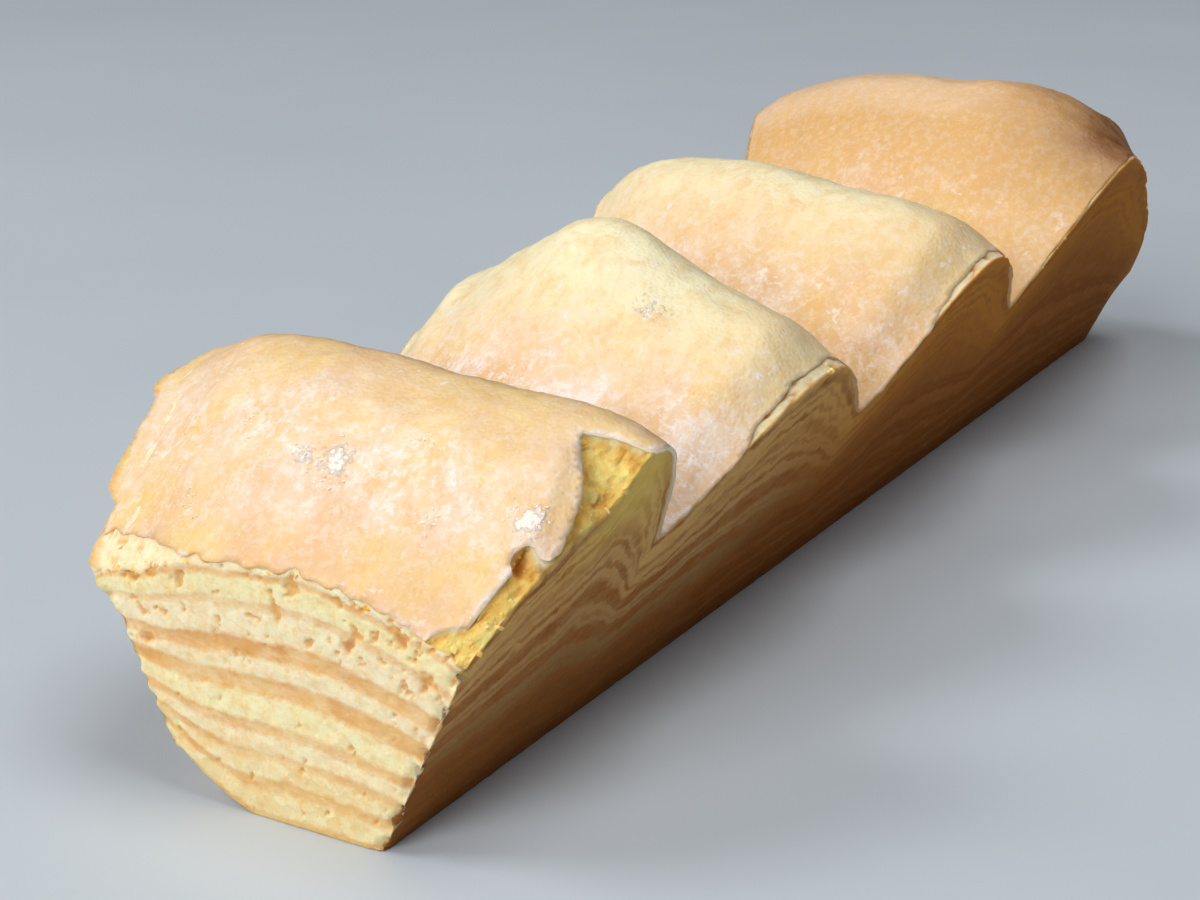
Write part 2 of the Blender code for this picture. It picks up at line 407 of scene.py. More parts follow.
def ring_radius(angle, along, ring, crust):
    """The radius of the ring surface numbered 0 at the base to 1 at the crust."""
    inner = base_radius(angle)
    swell = ridge_radius(along + RING_LEAN * (1 - ring)) - VALLEY_RADIUS
    correction = crust - ridge_radius(along)
    return inner + ring * (VALLEY_RADIUS - inner) + (swell + correction) * ring**RING_SWELL


def on_spit(angle, along, radius):
    """A place round the spit as a point in the part's frame."""
    return Vector(
        (radius * math.sin(angle), along - LENGTH / 2, radius * math.cos(angle) - AXIS_DEPTH)
    )


def spread(start, stop, first, last):
    """Places from start to stop, with cells that grow from the first size to the last."""
    count = round(2 * (stop - start) / (first + last))
    grow = (last - first) / (last + first)
    return [
        start + (stop - start) * (i / count * (1 - grow) + grow * (i / count) ** 2)
        for i in range(count + 1)
    ]


def between(places, share):
    """The place at a share of the way through a list, which may fall between two of them."""
    spot = min(max(share, 0.0), 1.0) * (len(places) - 1)
    low = min(int(spot + 1e-4), len(places) - 2)
    return places[low] + (places[low + 1] - places[low]) * (spot - low)


# ---- Meshes and materials ----


def new_object(bm, name, *materials, smooth=True):
    """Turns a bmesh into an object with these materials."""
    mesh = bpy.data.meshes.new(name)
    bm.to_mesh(mesh)
    bm.free()
    if smooth:
        mesh.shade_smooth()
    for material in materials:
        mesh.materials.append(material)
    made = bpy.data.objects.new(name, mesh)
    bpy.context.scene.collection.objects.link(made)
    return made


def new_piece(bm, name, *materials, smooth=True):
    """Turns a bmesh into a piece that rides on the cake's body."""
    piece = new_object(bm, name, *materials, smooth=smooth)
    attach(piece, BODY)
    return piece


def remove_object(name):
    old = bpy.data.objects.get(name)
    if old:
        bpy.data.objects.remove(old)


class Paint:
    """A material being put together from nodes."""

    def __init__(self, name, roughness):
        old = bpy.data.materials.get(name)
        if old:
            bpy.data.materials.remove(old)
        self.material = bpy.data.materials.new(name)
        self.material.use_nodes = True
        self.tree = self.material.node_tree
        self.shader = self.tree.nodes["Principled BSDF"]
        self.shader.inputs["Roughness"].default_value = roughness
        self.place = self.tree.nodes.new("ShaderNodeTexCoord").outputs["Object"]

    def node(self, kind, values=(), **settings):
        made = self.tree.nodes.new(kind)
        for key, value in settings.items():
            setattr(made, key, value)
        for key, value in dict(values).items():
            self.put(made.inputs[key], value)
        return made

    def put(self, socket, value):
        """Links the value to the socket, or sets it there."""
        if isinstance(value, bpy.types.NodeSocket):
            self.tree.links.new(value, socket)
        else:
            socket.default_value = value

    def set(self, name, value):
        self.put(self.shader.inputs[name], value)

    def cloud(self, size, detail=3.0, rough=0.55, twist=0.0, stretch=None):
        """Noise from 0 to 1 in lumps of a size."""
        place = self.place
        if stretch:
            place = self.node("ShaderNodeMapping", {"Vector": place, "Scale": stretch}).outputs[0]
        values = {
            "Vector": place, "Scale": 1 / size, "Detail": detail,
            "Roughness": rough, "Distortion": twist,
        }
        return self.node("ShaderNodeTexNoise", values).outputs["Fac"]

    def cells(self, size, output="Distance", bend=0.0):
        """Cells of a size, with edges bent by up to a share of it."""
        place = self.place
        if bend:
            values = {"Vector": place, "Scale": 1.5 / size, "Detail": 2.0}
            wander = self.node("ShaderNodeTexNoise", values).outputs["Color"]
            values = {0: wander, 1: (bend * size,) * 3, 2: place}
            place = self.node("ShaderNodeVectorMath", values, operation="MULTIPLY_ADD").outputs[0]
        values = {"Vector": place, "Scale": 1 / size}
        return self.node("ShaderNodeTexVoronoi", values).outputs[output]

    def coordinate(self, axis):
        return self.node("ShaderNodeSeparateXYZ", {0: self.place}).outputs[axis]

    def attribute(self, name):
        return self.node("ShaderNodeAttribute", attribute_name=name).outputs["Fac"]

    def span(self, value, low, high, to_low=0.0, to_high=1.0):
        """Takes a value from one span to another, and stops at its ends."""
        values = {0: value, 1: low, 2: high, 3: to_low, 4: to_high}
        return self.node("ShaderNodeMapRange", values, clamp=True).outputs[0]

    def math(self, operation, first, second):
        return self.node("ShaderNodeMath", {0: first, 1: second}, operation=operation).outputs[0]

    def sum(self, first, second):
        return self.math("ADD", first, second)

    def times(self, first, second):
        return self.math("MULTIPLY", first, second)

    def most(self, first, second):
        return self.math("MAXIMUM", first, second)

    def mix(self, share, first, second, blend="MIX"):
        values = {0: share, 6: first, 7: second}
        return self.node(
            "ShaderNodeMix", values, data_type="RGBA", blend_type=blend, clamp_factor=True
        ).outputs[2]

    def ramp(self, value, stops):
        """A ramp with stops (place, grey value or colour)."""
        made = self.node("ShaderNodeValToRGB", {0: value})
        elements = made.color_ramp.elements
        while len(elements) < len(stops):
            elements.new(0.5)
        for element, (place, colour) in zip(elements, stops):
            element.position = place
            element.color = colour if isinstance(colour, tuple) else (colour,) * 3 + (1.0,)
        return made.outputs[0]

    def bump(self, height, distance, strength=1.0, under=None):
        values = {"Height": height, "Distance": distance, "Strength": strength}
        if under is not None:
            values["Normal"] = under
        return self.node("ShaderNodeBump", values).outputs[0]


def tints(settings, *names):
    """The colours of these names, from the settings."""
    return [tuple(getattr(settings, name)) for name in names]


def skin_stops(skins, soft):
    """Ramp stops that rise to each skin's brownness over its line and fall to 0 between."""
    stops = []
    for skin in skins:
        low, high = skin.place - skin.half, skin.place + skin.half
        stops += [(low - soft, 0.0), (low, skin.brown), (high, skin.brown), (high + soft, 0.0)]
    return [(min(max(place, 0.0), 1.0), value) for place, value in stops if place > -soft]


# ---- Settings ----


def length(name, description, default):
    return FloatProperty(
        name=name, description=description, default=default, min=0.0,
        subtype="DISTANCE", unit="LENGTH", precision=5,
    )


def share(name, description, default):
    return FloatProperty(
        name=name, description=description, default=default, min=0.0, max=1.0, subtype="FACTOR"
    )


def number(name, description, default):
    return IntProperty(name=name, description=description, default=default, min=1)


def power(name, description, default):
    return FloatProperty(
        name=name, description=description, default=default, min=0.0, unit="POWER"
    )


def colour(name, description, *screen):
    return FloatVectorProperty(
        name=name, description=description, default=shade(*screen), size=4, min=0.0, max=1.0,
        subtype="COLOR",
    )


class SpongeSettings(bpy.types.PropertyGroup):
    """The poured rings and their crumb."""

    cell: length("Cell", "Size of the sponge's mesh at the cut end", 0.46 * MM)
    far_cell: length("Far cell", "Size of the sponge's mesh at the baked end", 1.35 * MM)
    crumb: length("Crumb", "Depth of the crumb's relief in the cut faces", 0.10 * MM)
    pore: length("Pore", "Depth of the largest pores", 0.42 * MM)
    cream: colour("Cream", "Crumb of most rings", 255, 233, 196)
    butter: colour("Butter", "Crumb of the yellow rings", 255, 237, 184)
    straw: colour("Straw", "Crumb of the lowest rings", 243, 220, 164)
    flake: colour("Flake", "Pale flakes in the crumb", 255, 243, 200)
    mottle: colour("Mottle", "Darker mottling of the crumb", 246, 198, 122)
    yolk: colour("Yolk", "Crumb laid open where the crust is torn off", 255, 230, 144)
    # Painted light: crumb by the first ridge's nose on the right cut, lightened in place of light
    # it gets there
    nose: colour("Nose", "Crumb by the first ridge's broken right edge", 255, 212, 112)
    # Orange and toast also paint shade into pit bottoms, holes and under the glaze's torn edge
    orange: colour("Orange", "The bottoms of pits and torn places", 246, 176, 48)
    brown: colour("Brown", "Browned skins between the rings", 238, 186, 116)
    toast: colour("Toast", "The darkest browned places", 208, 126, 42)
    # Painted shade: the long cuts get darker, warmer copies of the skins and crumb, darkest low
    # down, with a warm tint over all
    line: colour("Line", "Browned skins on the long cuts", 154, 84, 36)
    soaked: colour("Soaked", "Crumb of the long cuts", 226, 150, 68)
    deep_soaked: colour("Deep soaked", "Crumb low on the long cuts", 146, 86, 34)
    wash: colour("Wash", "What the long cuts are tinted with", 255, 247, 222)
    baked: colour("Baked", "The baked end", 188, 122, 62)


class GlazeSettings(bpy.types.PropertyGroup):
    """The skin of sugar glaze over the crust."""

    cell: length("Cell", "Size of the glaze's mesh at the cut end", 0.45 * MM)
    far_cell: length("Far cell", "Size of the glaze's mesh at the baked end", 0.95 * MM)
    thickness: length("Thickness", "Thickness of the glaze", 0.45 * MM)
    grit: length("Grit", "Height of the glaze's own relief", 0.10 * MM)
    gold: colour("Gold", "Baked crust seen through the glaze", 238, 200, 127)
    peach: colour("Peach", "Sugared slopes", 230, 186, 141)
    honey: colour("Honey", "Mottling where the sugar is clear", 232, 178, 98)
    # Painted highlight: the crests are lightened as if light from above falls on them
    crest: colour("Crest", "What the crests are lightened with", 255, 236, 200)
    butter: colour("Butter", "Pale crests of the second and third ridge", 253, 247, 206)
    amber: colour("Amber", "The last ridge, nearest the spit's end", 215, 165, 98)
    rose: colour("Rose", "The last ridge's crest", 238, 208, 180)
    bark: colour("Bark", "The darkest baked places", 120, 66, 28)
    frost: colour("Frost", "Dried white sugar", 251, 238, 228)
    flaky: colour("Flaky", "Raised flakes and clusters of sugar", 254, 244, 236)
    edge: colour("Edge", "The glaze where it is broken through", 230, 172, 100)
    pale_edge: colour("Pale edge", "The same by the torn place", 255, 240, 208)


class GrainSettings(bpy.types.PropertyGroup):
    """Loose sugar and crumbs."""

    sugar: number("Sugar grains", "How many grains lie on the glaze", 380)
    crumbs: number("Crumbs", "How many crumbs cling to torn edges", 120)
    sugar_size: length("Sugar size", "Width of a sugar grain", 0.28 * MM)
    crumb_size: length("Crumb size", "Width of a crumb", 0.7 * MM)
    white: colour("White", "Sugar grains", 253, 244, 236)
    cream: colour("Cream", "The darker sugar grains", 246, 230, 214)


class StageSettings(bpy.types.PropertyGroup):
    """The floor, the lights and the camera."""

    floor: colour("Floor", "The floor", 196, 205, 213)
    cloudy: colour("Cloudy", "Faint clouds on the floor", 152, 163, 173)
    key: power("Key light", "Power of the large soft light", 10.0)
    fill: power("Fill light", "Power of the light from the front", 22.4)
    top: power("Top light", "Power of the light from above", 18.0)
    sky: share("Sky", "Strength of the even light from all round", 0.03)
    sky_tint: colour("Sky tint", "Colour of the even light", 240, 236, 230)
    lens: FloatProperty(
        name="Lens", description="Focal length on a 36 mm wide sensor, in mm",
        default=65.857, min=10.0,
    )


# ---- The sponge ----


def skin_warp(point):
    """How far the rings waver from their even course, as a share of their number."""
    return (
        0.011 * lumps(point, 11 * MM, 5)
        + 0.007 * lumps(point, 3.6 * MM, 9)
        + 0.004 * lumps(point, 1.4 * MM, 2)
    )


def pores(point, porous):
    """Open bubbles with ragged rims in the crumb: 1 at the bottom of one, 0 between them."""
    rough = (
        lumps(point, 1.5 * MM) + 0.6 * lumps(point, 0.7 * MM) + 0.35 * lumps(point, 0.35 * MM)
    )
    return rise(rough, 0.82 - 0.46 * porous, 0.16)


def blocks(point):
    """The steps between the clots of crumb in a torn place, from 0 to 1."""
    bent = point / (1.7 * MM) + 0.35 * noise.noise_vector(point / (0.9 * MM))
    distances, points = noise.voronoi(bent)
    high = 0.5 + 0.5 * noise.cell(points[0] * 5.1)
    gap = fade(distances[1] - distances[0], 0.22, 0.22)
    return max(0.75 * high, 0.9 * gap)


def holes(point):
    """The larger holes torn in the cut end, with ragged rims: 1 at the bottom, 0 outside."""
    ragged = 0.9 * lumps(point, 0.9 * MM) + 0.6 * lumps(point, 0.45 * MM)
    nearest = min(
        math.hypot(point.x - h.across, point.z - h.height) / h.radius for h in HOLES
    )
    return smooth_step(1.5 - 2.2 * nearest + ragged)


def crags(along):
    """How far the crust's left edge stands out from the cut at a place along."""
    out = sum(
        c.out * bell(along - c.along, c.reach if along > c.along else CRAG_STEEP) for c in CRAGS
    )
    return out - CRAG_SET_BACK * fade(along, 22 * MM, 3 * MM)


def torn_angle(along):
    """Where the glaze ends on the right, as an angle."""
    return math.radians(along_table(TORN_EDGE, along / MM))


def bareness(angle, along, ring):
    """1 where the crust has broken off and shows its crumb, 0 elsewhere."""
    if ring < 0.999:
        return 0.0
    return fade(glaze_reach(angle, along), 0.25 * MM, 0.5 * MM)


def front_edge(angle):
    """How far the glaze starts back from the cut end."""
    left = rise(-angle, math.radians(9), math.radians(14))
    wave = 0.35 * MM * noise.noise(Vector((angle * 30, 0, 4)))
    return 2.3 * MM * left + wave


Spot = namedtuple("Spot", "angle station ring on_side on_cut_end on_baked_end")


def sponge_block(columns, places, rows):
    """A closed block of cells, -1 to 1 across (x) and along (y), and 0 to 1 up the rings (z)."""
    bm = bmesh.new()
    bmesh.ops.create_grid(bm, x_segments=columns, y_segments=places, size=1)
    top = bmesh.ops.extrude_face_region(bm, geom=bm.faces[:])["geom"]
    raised = [item for item in top if isinstance(item, bmesh.types.BMVert)]
    bmesh.ops.translate(bm, verts=raised, vec=(0, 0, 1))
    upright = [e for e in bm.edges if abs(e.verts[0].co.z - e.verts[1].co.z) > 0.5]
    bmesh.ops.subdivide_edges(bm, edges=upright, cuts=rows - 1, use_grid_fill=True)
    cut_end = [e for e in bm.edges if all(v.co.y < -0.9999 for v in e.verts)]
    bmesh.ops.subdivide_edges(bm, edges=cut_end, cuts=1, use_grid_fill=True)
    bmesh.ops.recalc_face_normals(bm, faces=bm.faces[:])
    return bm


def bend_round_spit(bm, layers, columns, places):
    """Bends the block round the spit, and gives each vertex's spot in the sponge."""
    spots = {}
    for vertex in bm.verts:
        across, lengthwise, ring = vertex.co
        column = between(columns, (across + 1) / 2)
        angle = column * (LEFT_ANGLE if column < 0 else RIGHT_ANGLE)
        station = between(places, (lengthwise + 1) / 2)
        crust = crust_radius(angle, station) + CHIP_FILL * chip(angle, station)
        radius = min(ring_radius(angle, station, ring, crust), crust - (1 - ring) * MM)
        radius -= COVER * ring**6
        lean = BAKED_END_LEAN * smooth_step((1 - ring) / 0.7) * (station / LENGTH) ** 4
        vertex.co = on_spit(angle, station + lag_at(angle, station) - lean, radius)
        bare = bareness(angle, station, ring)
        torn = bare * rise(math.degrees(angle), 18, 1) * fade(station, TORN_END, 5 * MM)
        # Where the right cut by the first ridge's nose is lightened, as painted light
        nose = rise(ring, 0.76, 0.14) * bell(station - NOSE_ALONG, 5 * MM) * (angle > 0)
        vertex[layers["ring"]] = ring
        vertex[layers["bare"]] = bare
        vertex[layers["torn"]] = torn
        vertex[layers["nose"]] = nose
        vertex[layers["swell"]] = min(max((crust - VALLEY_RADIUS) / (13 * MM), 0), 1)
        spots[vertex] = Spot(
            angle, station, ring,
            abs(across) > 0.9999, lengthwise < -0.9999, lengthwise > 0.9999,
        )
    return spots


def cut_relief(settings, spot, point, shown):
    """How deep crumb, pores and browned skins go at a place on a cut, and how much it is a pit,
    which the material darkens as painted shade.
    """
    crumb = 0.5 - lumps(point, 1.4 * MM) + 0.6 * lumps(point, 0.7 * MM)
    porous = 0.15 + 0.85 * rise(spot.ring, 0.45, 0.4)
    porous *= 0.75 + 0.4 * rise(point.x, -6 * MM, 16 * MM)
    pit = 0.8 * pores(point, porous)
    if spot.on_cut_end and spot.ring < 0.995:
        pit = max(pit, holes(point))
    skin = max(bell(shown - s.place, s.half * 1.3) * s.sunk / DEEPEST_SUNK for s in SKINS)
    pit *= 1 - 0.8 * skin
    depth = settings.crumb * crumb * (1 - 0.6 * skin) + settings.pore * pit + SKIN_DEPTH * skin
    if spot.on_side and not spot.on_cut_end:
        depth *= SIDE_SHARE
    return depth, pit * fade(spot.station, LENGTH - 5 * MM, 5 * MM)


def crumbled_corner(spot, point):
    """How deep the cut end's upper corners have crumbled off, the right one more than the left."""
    spit_distance = math.hypot(point.x, point.z + AXIS_DEPTH)
    from_side = min(RIGHT_ANGLE - spot.angle, spot.angle + LEFT_ANGLE) * spit_distance
    worn = fade(max(from_side, spot.station), CORNER_REACH, CORNER_REACH)
    worn *= 1.0 if spot.angle > 0 else 0.35
    return CORNER_DEPTH * worn * max(lumps(point, 1.3 * MM) + 0.35, 0)


def torn_relief(spot, point, torn):
    """How deep the clots and the hole go in the torn place, and how much painted shade it gets: in
    the clots, the hole, and a strip under the glaze's torn edge.
    """
    clot = torn * blocks(point)
    # A strip under the glaze's torn edge, darkened as painted shade
    rim = torn * bell(glaze_reach(spot.angle, spot.station) + 0.3 * MM, 0.9 * MM)
    hole_angle, hole_along, hole_radius = GLAZE_HOLE
    from_hole = math.hypot((spot.angle - hole_angle) * VALLEY_RADIUS, spot.station - hole_along)
    sunk = smooth_step(1.4 - from_hole / hole_radius)
    return CLOT_DEPTH * clot + HOLE_DEPTH * sunk, max(0.4 * clot * clot, 0.7 * rim, 1.3 * sunk)


def roughen(bm, layers, spots, settings):
    """Works the crumb, the pores, the browned skins and the torn place into the block."""
    bm.normal_update()
    moves = []
    for vertex, spot in spots.items():
        if spot.ring < 1e-4 and not (spot.on_side or spot.on_cut_end):
            continue
        point = vertex.co.copy()
        long_cut = spot.on_side and not spot.on_baked_end
        shown = spot.ring + (1 + 2.0 * rise(spot.station, 0, 5 * MM) * long_cut) * skin_warp(point)
        if spot.ring > 0.999 and not spot.on_side and spot.station > WHOLE_FROM:
            shown = 1.0
        if spot.ring > 0.02:
            vertex[layers["ring"]] = min(max(shown, 0.0), 1.0)
        vertex[layers["side"]] = 1.0 if spot.on_side and not spot.on_cut_end else 0.0
        bare = vertex[layers["bare"]]
        depth, pit = 0.0, 0.0
        if spot.on_side or spot.on_cut_end or bare > 0:
            depth, pit = cut_relief(settings, spot, point, shown)
            depth += crumbled_corner(spot, point)
            if spot.on_side and point.x < 0:
                depth -= crags(spot.station) * rise(spot.ring, 0.72, 0.2)
        if spot.ring > 0.999 and bare > 0:
            deeper, torn_pit = torn_relief(spot, point, vertex[layers["torn"]])
            depth, pit = depth + deeper, max(pit, torn_pit)
        # The share of painted shade, in pits and holes and under the glaze's edge, that the
        # material reads
        vertex[layers["pit"]] = pit
        inwards = -vertex.normal
        depth *= fade(spot.station, LENGTH, 6 * MM)
        if spot.on_baked_end:
            inwards = Vector((0, -1, 0))
            depth = BAKED_END_DEPTH * max(lumps(point, 4 * MM), 0)
        moves.append((vertex, inwards * depth))
    for vertex, move in moves:
        vertex.co += move
        vertex.co.y = min(vertex.co.y, CAD_BOX[1][1])
        vertex.co.z = max(vertex.co.z, 0.0)


def sponge_mesh(settings):
    """The sponge as a closed bmesh, with what its material reads on its vertices."""
    noise.seed_set(NOISE_SEED)
    half = spread(-1, 0, 0.012, 0.020)
    columns = half[:-1] + [-c for c in reversed(half)]
    places = spread(0, LENGTH, settings.cell, settings.far_cell)
    bm = sponge_block(len(columns) - 1, len(places) - 1, round(26.1 * MM / settings.cell))
    names = ("ring", "bare", "pit", "swell", "side", "torn", "nose")
    layers = {name: bm.verts.layers.float.new(name) for name in names}
    spots = bend_round_spit(bm, layers, columns, places)
    roughen(bm, layers, spots, settings)
    base = [f for f in bm.faces if all(abs(v.co.z) < 1e-7 for v in f.verts)]
    bmesh.ops.dissolve_faces(bm, faces=base, use_verts=False)
    return bm


def browned_skins(paint, ring, side):
    """How browned the sponge is, from the skins between its rings, broken up along them."""
    fine = paint.times(paint.ramp(ring, skin_stops(SIDE_SKINS, 0.008)), side)
    swollen = paint.ramp(ring, skin_stops(RIDGE_SKINS, 0.007))
    swollen = paint.times(swollen, paint.attribute("swell"))
    browned = paint.most(paint.ramp(ring, skin_stops(SKINS, 0.024)), paint.most(fine, swollen))
    along_rings = (0.4, 0.4, 1.0)
    ragged = paint.cloud(2.6 * MM, 6, 0.72, 0.3, along_rings)
    ragged = paint.span(ragged, 0.25, 0.75, -0.42, 0.42)
    browned = paint.span(paint.sum(browned, ragged), 0.16, 1.02)
    streaks = paint.cloud(1.0 * MM, 4, 0.65, 0.3, along_rings)
    browned = paint.times(browned, paint.span(streaks, 0.30, 0.56, 0.60, 1.0))
    patchy = paint.cloud(5 * MM, 3, 0.6)
    browned = paint.times(browned, paint.span(patchy, 0.30, 0.60, 0.75, 1.0))
    faint = paint.cloud(1.0 * MM, 3, 0.6, 0.2, (0.25, 0.25, 1.0))
    faint = paint.times(paint.span(faint, 0.52, 0.68, 0, 0.4), paint.span(side, 0, 1, 0.12, 0.42))
    return paint.most(browned, faint)


def crumb_colour(paint, settings, ring, side, far):
    """The crumb between the skins: pale at the cut end, and on the long cuts a darker, warmer copy
    that is painted shade.
    """
    cream, butter, straw, brown = tints(settings, "cream", "butter", "straw", "brown")
    flake, mottle, soaked, deep = tints(settings, "flake", "mottle", "soaked", "deep_soaked")
    crumb = paint.ramp(ring, (
        (0.00, straw), (0.20, straw), (0.33, cream), (0.36, butter), (0.45, butter),
        (0.50, cream), (0.80, cream), (0.86, butter), (0.94, butter), (0.97, cream), (1.00, cream),
    ))
    flakes = paint.span(paint.cells(1.3 * MM, output="Color", bend=0.8), 0.3, 0.8, 0, 0.7)
    crumb = paint.mix(flakes, crumb, flake)
    crumb = paint.mix(paint.span(paint.cloud(1.0 * MM, 6, 0.75), 0.44, 0.70, 0, 0.7), crumb, mottle)
    # Brown blotches on the long cuts only, partly painted shade there
    blotches_and_shade = paint.span(paint.cloud(8 * MM, 3, 0.6), 0.35, 0.65, 0.05, 0.25)
    crumb = paint.mix(paint.times(blotches_and_shade, side), crumb, brown)
    # Painted shade: the long cuts' crumb turns to a darker, warmer copy, more towards the base and
    # the baked end
    inner = paint.sum(paint.span(ring, 0.44, 0.86, 1, 0), paint.times(far, 0.5))
    cut_shade_share = paint.ramp(ring, ((0.0, 0.97), (0.3, 0.95), (0.5, 0.72), (0.8, 0.60), (0.95, 0.5)))
    cut_shade_share = paint.times(paint.span(paint.sum(cut_shade_share, far), 0, 1), side)
    return paint.mix(cut_shade_share, crumb, paint.mix(inner, soaked, deep))


def sponge_material(settings):
    brown, toast, line, wash = tints(settings, "brown", "toast", "line", "wash")
    yolk, nose, orange, baked = tints(settings, "yolk", "nose", "orange", "baked")
    paint = Paint("sponge_crumb", 0.9)
    pit, side, torn = (paint.attribute(name) for name in ("pit", "side", "torn"))
    fuzz = paint.span(paint.cloud(0.8 * MM, 4, 0.65), 0, 1, -0.016, 0.016)
    sway = paint.span(paint.cloud(3.0 * MM, 2), 0, 1, -0.014, 0.014)
    ring = paint.sum(paint.attribute("ring"), paint.sum(fuzz, sway))
    along = paint.coordinate("Y")
    # How near the baked end: the painted shade on the long cuts deepens towards it
    far = paint.span(along, -45 * MM, 40 * MM, 0, 0.9)
    crumb = crumb_colour(paint, settings, ring, side, far)
    deep = paint.span(paint.cloud(1.8 * MM, 4, 0.65), 0.48, 0.66, 0, 0.50)
    crumb = paint.mix(torn, crumb, paint.mix(deep, yolk, orange))
    tone = paint.mix(paint.span(paint.cloud(4 * MM, 3), 0.4, 0.7, 0, 0.5), brown, toast)
    # Painted shade: the long cuts' skins are a darker copy of the brown
    tone = paint.mix(paint.times(side, 0.85), tone, line)
    body = paint.mix(browned_skins(paint, ring, side), crumb, tone)
    # Painted shade: a warm tint multiplied over the long cuts
    body = paint.mix(side, body, wash, "MULTIPLY")
    # Painted light: the right cut by the first ridge's nose is lightened, hiding its skins
    by_nose = paint.times(paint.attribute("nose"), side)
    body = paint.mix(paint.times(by_nose, 0.95), body, nose)
    specks = paint.span(paint.cells(0.5 * MM), 0.0, 0.25, 0.7, 0.0)
    specks = paint.times(specks, paint.span(paint.cloud(1.6 * MM, 2), 0.46, 0.60, 0, 0.7))
    body = paint.mix(specks, body, brown)
    # Painted shade: pit bottoms, holes and the strip under the glaze's torn edge darken to orange,
    # then toast
    hollow = paint.times(pit, paint.span(side, 0, 1, 0.75, 0.15))
    body = paint.mix(hollow, body, paint.mix(paint.times(pit, pit), orange, toast))
    end = paint.sum(along, paint.span(paint.cloud(5 * MM), 0, 1, -3 * MM, 3 * MM))
    end = paint.span(end, LENGTH / 2 - 8 * MM, LENGTH / 2 - 1 * MM, 0, 0.85)
    paint.set("Base Color", paint.mix(end, body, baked))
    paint.set("Specular IOR Level", 0.10)
    paint.set("Subsurface Weight", 0.40)
    paint.set("Subsurface Radius", (1.2 * MM, 0.7 * MM, 0.3 * MM))
    paint.set("Subsurface Scale", 1.0)
    grain = paint.bump(paint.cloud(0.6 * MM, 6, 0.75), 0.20 * MM, 0.7)
    clots = paint.times(paint.cells(1.3 * MM, bend=0.8), paint.sum(paint.times(torn, 3), 0.8))
    paint.set("Normal", paint.bump(clots, 0.20 * MM, 0.6, grain))
    return paint.material


# ---- The glaze ----


def glaze_reach(angle, along):
    """How far inside the glaze's edge a place on the crust lies, in metres; below 0 it is bare."""
    spot = Vector((angle * EDGE_RADIUS, along, 0))
    nibble = 0.34 * MM * lumps(spot, 2.2 * MM) + 0.12 * MM * lumps(spot, 0.8 * MM)
    past_side = (0.15 - 0.45 * rise(along, 115 * MM, 15 * MM)) * MM
    right = min(torn_angle(along), RIGHT_ANGLE + past_side / EDGE_RADIUS)
    crag = 0.5 * MM * noise.noise(spot / (4 * MM) + Vector((3, 3, 3)))
    inside = min(
        (right - angle) * EDGE_RADIUS,
        (angle + LEFT_ANGLE) * EDGE_RADIUS + past_side + crag + crags(along),
        along - front_edge(angle) - 0.05 * MM,
        LENGTH - 2.5 * MM + 0.8 * MM * lumps(spot, 5 * MM) - along,
    )
    hole_angle, hole_along, hole_radius = GLAZE_HOLE
    from_hole = math.hypot((angle - hole_angle) * EDGE_RADIUS, along - hole_along)
    return min(inside, from_hole - hole_radius) + nibble


def snap_to_edge(angle, along):
    """Moves a place on the crust onto the nearest point of the glaze's edge."""
    step = 0.05 * MM
    for _ in range(3):
        reach = glaze_reach(angle, along)
        slope_a = (glaze_reach(angle + step / EDGE_RADIUS, along) - reach) / step
        slope_y = (glaze_reach(angle, along + step) - reach) / step
        steep = max(slope_a**2 + slope_y**2, 0.25)
        angle -= reach * slope_a / steep / EDGE_RADIUS
        along -= reach * slope_y / steep
    return angle, along


def sheet_grid(columns, places):
    """A flat grid whose vertices stand at the given angles (x) and places along (y)."""
    bm = bmesh.new()
    bmesh.ops.create_grid(bm, x_segments=len(columns) - 1, y_segments=len(places) - 1, size=1)
    for vertex in bm.verts:
        vertex.co.x = columns[round((vertex.co.x + 1) / 2 * (len(columns) - 1))]
        vertex.co.y = places[round((vertex.co.y + 1) / 2 * (len(places) - 1))]
    return bm


def glaze_surface(angle, along):
    """The radius of the glaze's top, without its own relief."""
    return crust_radius(angle, along) + GLAZE_BRIDGE * chip(angle, along) - GLAZE_SUNK


def sugar_cluster(angle, along):
    """How thickly the clusters of dried sugar lie at a place."""
    return sum(
        min(9 * c.share, 1)
        * bell(math.degrees(angle) - c.angle, 1.5 * c.spread)
        * bell(along / MM - c.along, 1.3 * c.spread)
        for c in SUGAR
    )


